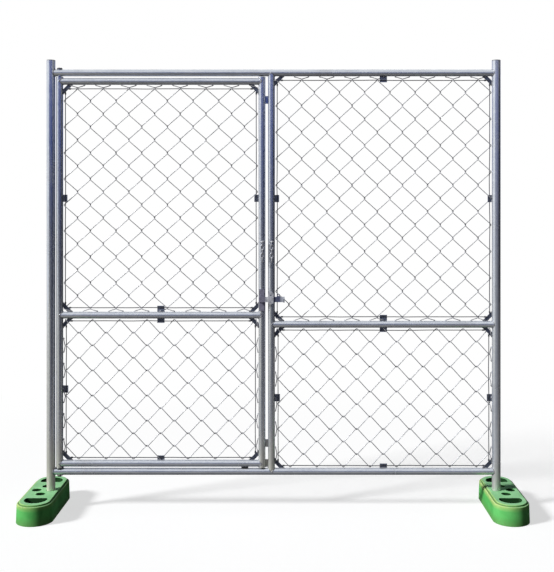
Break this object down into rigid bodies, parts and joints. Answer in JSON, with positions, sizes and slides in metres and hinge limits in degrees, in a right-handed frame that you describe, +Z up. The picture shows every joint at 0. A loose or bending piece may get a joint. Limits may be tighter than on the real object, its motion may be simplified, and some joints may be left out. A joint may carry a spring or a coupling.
{
  "type": "temporary fence gate",
  "caption": "Free-standing site gate of welded round tube: a chain-link swing leaf beside a fixed chain-link panel, with a slide bolt latch and weighted plastic feet.",
  "frame": {"origin": "on the ground, midway between the two end posts", "axes": "+Z up, +X along the gate towards the fixed panel, -Y towards the side that the leaf opens to"},
  "size_m": [2.322, 0.4758, 2.11],
  "materials": {
    "galvanised_tube": "hot-dip galvanised, satin",
    "mesh_wire": "galvanised wire, satin",
    "tension_wire": "galvanised wire, dull",
    "bracket_steel": "weathered galvanised strip",
    "latch_steel": "zinc plated, satin",
    "pivot_steel": "plain steel, dull",
    "chain_steel": "zinc plated, satin",
    "green_shell": "moulded polyethylene, scuffed",
    "cap_plastic": "moulded, matt",
    "rest_rubber": "moulded rubber, matt",
    "concrete": "cast concrete, rough"
  },
  "bodies": {
    "frame": {"left_post": "galvanised_tube", "right_post": "galvanised_tube", "post_caps": "cap_plastic", "top_rail": "galvanised_tube", "bottom_rail": "galvanised_tube", "mid_post": "galvanised_tube", "fixed_mid_rail": "galvanised_tube", "top_pivot_socket": "galvanised_tube", "bottom_pivot_socket": "galvanised_tube", "fixed_upper_mesh": "mesh_wire", "fixed_lower_mesh": "mesh_wire", "fixed_upper_tension_wires": "tension_wire", "fixed_lower_tension_wires": "tension_wire", "fixed_corner_lugs": "bracket_steel", "fixed_mesh_clips": "bracket_steel", "upper_gate_stop": "bracket_steel", "lower_gate_stop": "bracket_steel", "sill_gate_stop": "bracket_steel", "leaf_rest_pad": "rest_rubber", "latch_guide": "latch_steel", "post_chain_eye": "chain_steel"},
    "gate_leaf": {"hinge_stile": "galvanised_tube", "latch_stile": "galvanised_tube", "leaf_top_rail": "galvanised_tube", "leaf_mid_rail": "galvanised_tube", "leaf_bottom_rail": "galvanised_tube", "hinge_stile_plugs": "pivot_steel", "top_pivot_bolt": "pivot_steel", "top_pivot_washer": "pivot_steel", "thrust_washer": "pivot_steel", "bottom_pivot_pin": "pivot_steel", "split_pin": "pivot_steel", "leaf_upper_mesh": "mesh_wire", "leaf_lower_mesh": "mesh_wire", "leaf_upper_tension_wires": "tension_wire", "leaf_lower_tension_wires": "tension_wire", "leaf_corner_lugs": "bracket_steel", "leaf_mesh_clips": "bracket_steel", "bolt_keeper": "latch_steel", "leaf_chain_eye": "chain_steel"},
    "latch_bolt": {"latch_bolt": "latch_steel"},
    "leaf_chain": {"leaf_chain": "chain_steel"},
    "post_chain": {"post_chain": "chain_steel"},
    "left_foot": {"left_foot_shell": "green_shell", "left_foot_core": "concrete"},
    "right_foot": {"right_foot_shell": "green_shell", "right_foot_core": "concrete"}
  },
  "joints": [
    {"name": "leaf_swing", "type": "hinge", "parent": "frame", "child": "gate_leaf", "pos_m": [-1.004, 0, 1.1], "axis": [0, 0, 1], "range_deg": [-110, 0]},
    {"name": "bolt_slide", "type": "slide", "parent": "frame", "child": "latch_bolt", "axis": [-1, 0, 0], "range_m": [0, 0.0367]},
    {"name": "left_foot_turn", "type": "hinge", "parent": "frame", "child": "left_foot", "pos_m": [-1.045, 0, 0], "axis": [0, 0, 1], "continuous": true},
    {"name": "right_foot_turn", "type": "hinge", "parent": "frame", "child": "right_foot", "pos_m": [1.045, 0, 0], "axis": [0, 0, 1], "continuous": true},
    {"name": "leaf_chain_swing", "type": "hinge", "parent": "gate_leaf", "child": "leaf_chain", "pos_m": [-0.052, -0.028, 1.257], "axis": [1, 0, 0], "range_deg": [-90, 0]},
    {"name": "post_chain_swing", "type": "hinge", "parent": "frame", "child": "post_chain", "pos_m": [-0.008, -0.028, 1.257], "axis": [1, 0, 0], "range_deg": [-90, 0]}
  ]
}
